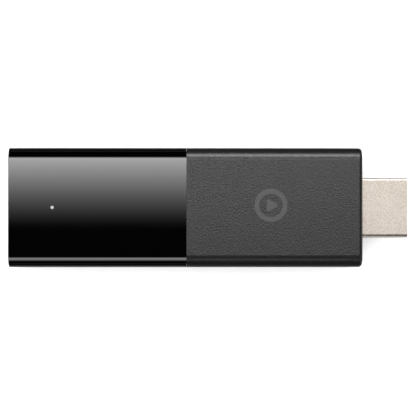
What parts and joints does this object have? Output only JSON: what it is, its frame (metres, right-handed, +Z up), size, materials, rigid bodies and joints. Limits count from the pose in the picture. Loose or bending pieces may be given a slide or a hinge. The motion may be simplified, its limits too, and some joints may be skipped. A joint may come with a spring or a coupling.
{
  "type": "streaming media player",
  "caption": "Stick-shaped streaming media player: a two-tone black case with a video plug at the nose, a power socket in the tail and a status light on top.",
  "frame": {"origin": "middle of the underside of the whole object's box, plug included", "axes": "+X along the stick from the power socket to the plug's tip, +Z up through the face with the status light, +Y across the stick to complete a right-handed frame"},
  "size_m": [0.0924, 0.0274, 0.0152],
  "materials": {
    "gloss_case": "piano-black, polished mould",
    "matte_case": "fine spark-eroded mould texture",
    "plug_metal": "warm satin nickel plating",
    "socket_metal": "bright nickel plating",
    "contact_gold": "gold plating",
    "insulator_black": "moulded high-temperature plastic",
    "clear_guide": "clear moulded light guide",
    "carrier_grey": "plain moulded plastic",
    "screw_steel": "zinc-plated steel",
    "board_laminate": "green solder mask over copper",
    "chip_black": "epoxy moulding compound",
    "solder": "reflowed solder",
    "shield_tin": "tin-plated sheet",
    "thermal_pad": "soft silicone pad",
    "spreader_aluminium": "stamped, lightly brushed",
    "light_lens": "moulded clear epoxy",
    "antenna_metal": "plated stamping",
    "ferrite": "pressed ferrite",
    "crystal_lid": "seam-sealed metal lid",
    "ceramic_tan": "fired ceramic",
    "resistor_black": "glazed ceramic"
  },
  "bodies": {
    "root": {"gloss_cover": "gloss_case", "matte_cover": "matte_case", "light_pipe": "clear_guide", "board_carrier": "carrier_grey", "carrier_screws": "screw_steel", "main_board": "board_laminate", "processor": "chip_black", "memory_chips": "chip_black", "flash_chip": "chip_black", "solder_joints": "solder", "top_shield_frame": "shield_tin", "top_shield_lid": "shield_tin", "bottom_shield_frame": "shield_tin", "bottom_shield_lid": "shield_tin", "processor_pad": "thermal_pad", "flash_pad": "thermal_pad", "top_thermal_pad": "thermal_pad", "bottom_thermal_pad": "thermal_pad", "top_heat_spreader": "spreader_aluminium", "bottom_heat_spreader": "spreader_aluminium", "status_led": "light_lens", "radio_module": "board_laminate", "radio_shield": "shield_tin", "left_antenna": "antenna_metal", "right_antenna": "antenna_metal", "power_controller": "chip_black", "inductors": "ferrite", "crystals": "crystal_lid", "signal_filters": "ceramic_tan", "capacitors": "ceramic_tan", "resistors": "resistor_black", "power_socket_shell": "socket_metal", "power_socket_insulator": "insulator_black", "power_socket_contacts": "contact_gold", "video_plug_shell": "plug_metal", "video_plug_insulator": "insulator_black", "upper_plug_contacts": "contact_gold", "lower_plug_contacts": "contact_gold"}
  },
  "joints": []
}
